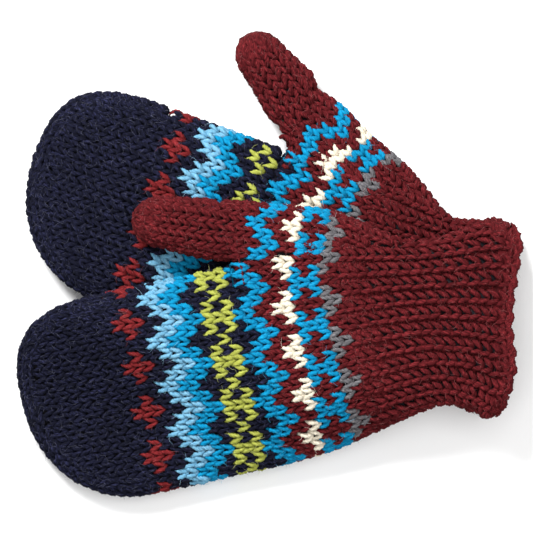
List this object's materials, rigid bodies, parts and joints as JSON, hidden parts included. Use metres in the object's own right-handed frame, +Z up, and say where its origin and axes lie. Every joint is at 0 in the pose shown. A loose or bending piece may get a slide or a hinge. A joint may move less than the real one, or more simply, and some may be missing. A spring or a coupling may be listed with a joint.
{
  "type": "knitted mittens",
  "caption": "Pair of hand-knitted colourwork wool mittens with ribbed cuffs and fleece linings, laid flat with the right mitten partly on the left.",
  "frame": {"origin": "centre of the pair's bounding box at the surface that the left mitten lies on", "axes": "+X from the fingertips towards the cuffs, +Y towards the side that the thumbs are on, +Z up from the surface"},
  "size_m": [0.2512, 0.2314, 0.0485],
  "materials": {
    "burgundy_wool": "two-ply heathered wool yarn, knitted",
    "navy_wool": "two-ply heathered wool yarn, knitted",
    "red_wool": "two-ply heathered wool yarn, knitted",
    "sky_blue_wool": "wool yarn, knitted",
    "turquoise_wool": "wool yarn, knitted",
    "lime_wool": "wool yarn, knitted",
    "cream_wool": "wool yarn, knitted, part of the gusset band",
    "grey_wool": "two-ply heather grey wool yarn, knitted, part of the wrist band",
    "fleece": "brushed polyester fleece"
  },
  "bodies": {
    "left_hand": {"left_cuff_edge": "burgundy_wool", "left_ribbed_cuff": "burgundy_wool", "left_wrist_band": "burgundy_wool", "left_gusset_band": "turquoise_wool", "left_lime_band": "lime_wool", "left_sky_band": "sky_blue_wool", "left_red_motif_band": "red_wool", "left_navy_crown": "navy_wool", "left_cuff_lining": "fleece", "left_palm_lining": "fleece", "left_knuckle_lining": "fleece", "left_finger_lining": "fleece"},
    "left_thumb": {"left_thumb": "burgundy_wool", "left_thumb_tip": "burgundy_wool", "left_thumb_lining": "fleece"},
    "right_hand": {"right_wrist_band": "burgundy_wool", "right_gusset_band": "turquoise_wool", "right_lime_band": "lime_wool", "right_palm_lining": "fleece", "right_knuckle_lining": "fleece"},
    "right_cuff": {"right_cuff_edge": "burgundy_wool", "right_ribbed_cuff": "burgundy_wool", "right_cuff_lining": "fleece"},
    "right_fingers": {"right_sky_band": "sky_blue_wool", "right_red_motif_band": "red_wool", "right_navy_crown": "navy_wool", "right_finger_lining": "fleece"},
    "right_thumb": {"right_thumb": "burgundy_wool", "right_thumb_tip": "burgundy_wool", "right_thumb_lining": "fleece"}
  },
  "joints": [
    {"name": "left_thumb_close", "type": "hinge", "parent": "left_hand", "child": "left_thumb", "pos_m": [0.0119, 0.06185, 0.012], "axis": [0, 0, 1], "range_deg": [0, 25]},
    {"name": "right_lift", "type": "slide", "parent": "left_hand", "child": "right_hand", "axis": [0, 0, 1], "range_m": [0, 0.12]},
    {"name": "right_finger_curl", "type": "hinge", "parent": "right_hand", "child": "right_fingers", "pos_m": [-0.02552, -0.05369, 0.04485], "axis": [-0.2122, 0.9574, 0.1961], "range_deg": [0, 50]},
    {"name": "right_cuff_bend", "type": "hinge", "parent": "right_hand", "child": "right_cuff", "pos_m": [0.06332, -0.034, 0.0487], "axis": [0.2164, -0.9763, 0], "range_deg": [0, 30]},
    {"name": "right_thumb_spread", "type": "hinge", "parent": "right_hand", "child": "right_thumb", "pos_m": [-0.02339, 0.03302, 0.0365], "axis": [0, 0, -1], "range_deg": [0, 35]}
  ]
}
